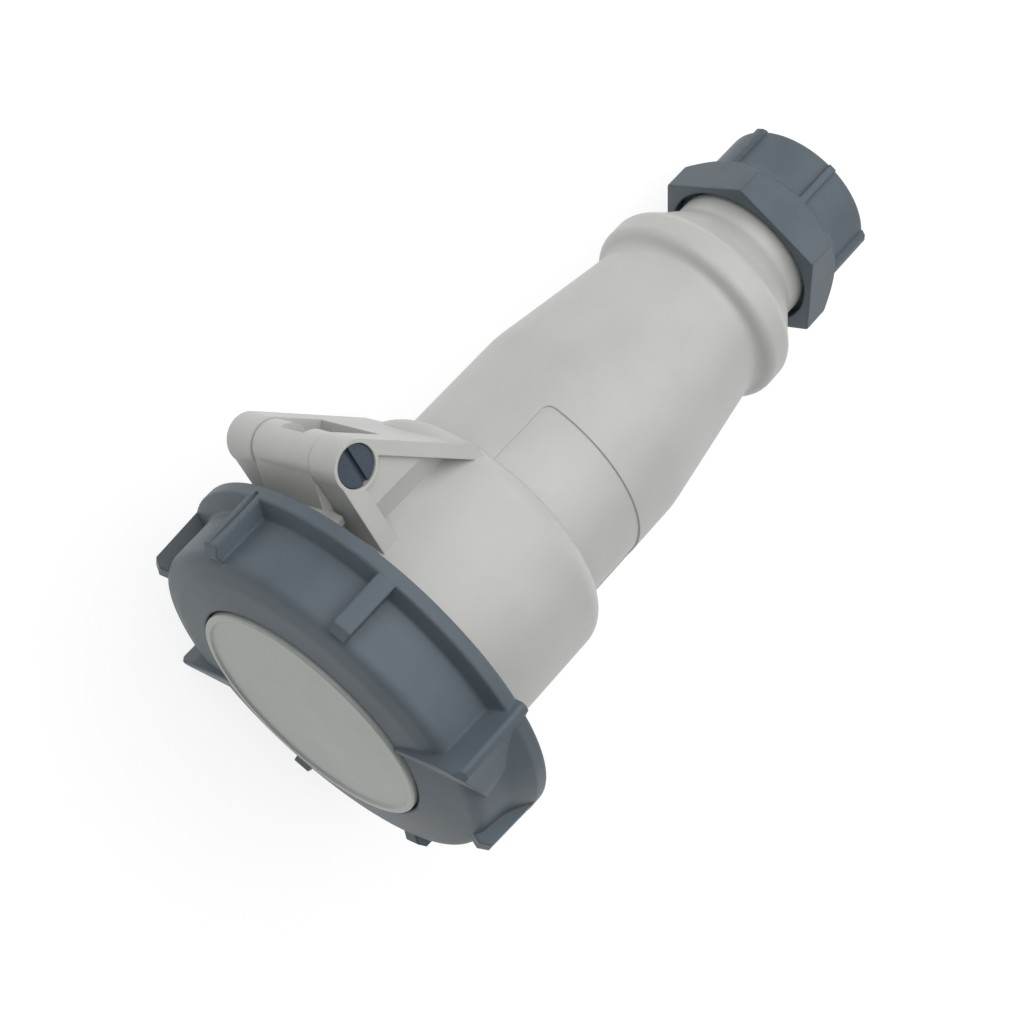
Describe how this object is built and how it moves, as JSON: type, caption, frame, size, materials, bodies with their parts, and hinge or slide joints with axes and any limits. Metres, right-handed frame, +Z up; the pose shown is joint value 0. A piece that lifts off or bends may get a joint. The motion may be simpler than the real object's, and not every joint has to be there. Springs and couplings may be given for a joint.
{
  "type": "industrial power coupler",
  "caption": "Splash-proof industrial cable connector with a hinged lid, a winged bayonet locking ring, a tapered handle and a ribbed gland nut.",
  "frame": {"origin": "centre of the bounding box on the plane it lies on", "axes": "+Z up; +X from the lid towards the cable gland, along the coupler's axis as seen from above; the coupler lies with its gland end lower"},
  "size_m": [0.2106, 0.1179, 0.1101],
  "materials": {
    "housing_plastic": "fine moulded satin, light grey polyamide",
    "cap_plastic": "satin, pale grey polyamide",
    "ring_plastic": "fine moulded satin, blue-grey polyamide",
    "screw_plastic": "semi-gloss, dark blue-grey polyamide",
    "carrier_plastic": "satin, dark grey polyamide",
    "cage_plastic": "satin, dark grey polyamide",
    "seal_rubber": "dull black",
    "contact_brass": "turned brass",
    "screw_steel": "zinc-plated steel",
    "spring_steel": "stainless spring wire"
  },
  "bodies": {
    "housing": {"front_housing": "housing_plastic", "rear_housing": "housing_plastic", "housing_seal": "seal_rubber", "carrier_cover": "carrier_plastic", "carrier_boss": "carrier_plastic", "contact_carrier": "carrier_plastic", "carrier_back": "carrier_plastic", "contact_pe": "contact_brass", "contact_l1": "contact_brass", "contact_l2": "contact_brass", "contact_l3": "contact_brass", "contact_n": "contact_brass", "terminal_screws": "screw_steel", "carrier_screws": "screw_steel", "centre_screw": "screw_steel", "hinge_screw": "screw_plastic", "hinge_spring": "spring_steel", "clamp_cage": "cage_plastic", "cable_seal": "seal_rubber", "thrust_ring": "cage_plastic"},
    "lid": {"lid": "housing_plastic", "lid_cap": "cap_plastic", "lid_gasket": "seal_rubber"},
    "ring": {"bayonet_ring": "ring_plastic"},
    "nut": {"gland_nut": "ring_plastic"}
  },
  "joints": [
    {"name": "lid_hinge", "type": "hinge", "parent": "housing", "child": "lid", "pos_m": [-0.05825, 0.0464, 0.06747], "axis": [-0.1652, 0.3069, -0.9373], "range_deg": [0, 120], "stiffness_Nm_per_rad": 0.1, "springref_deg": -74.48},
    {"name": "ring_twist", "type": "hinge", "parent": "lid", "child": "ring", "pos_m": [-0.09184, -0.00471, 0.05666], "axis": [0.9848, 0, -0.1736], "range_deg": [0, 40]},
    {"name": "nut_turn", "type": "hinge", "parent": "housing", "child": "nut", "pos_m": [0.08838, -0.00471, 0.02488], "axis": [0.9848, 0, -0.1736], "range_deg": [0, 720]}
  ]
}
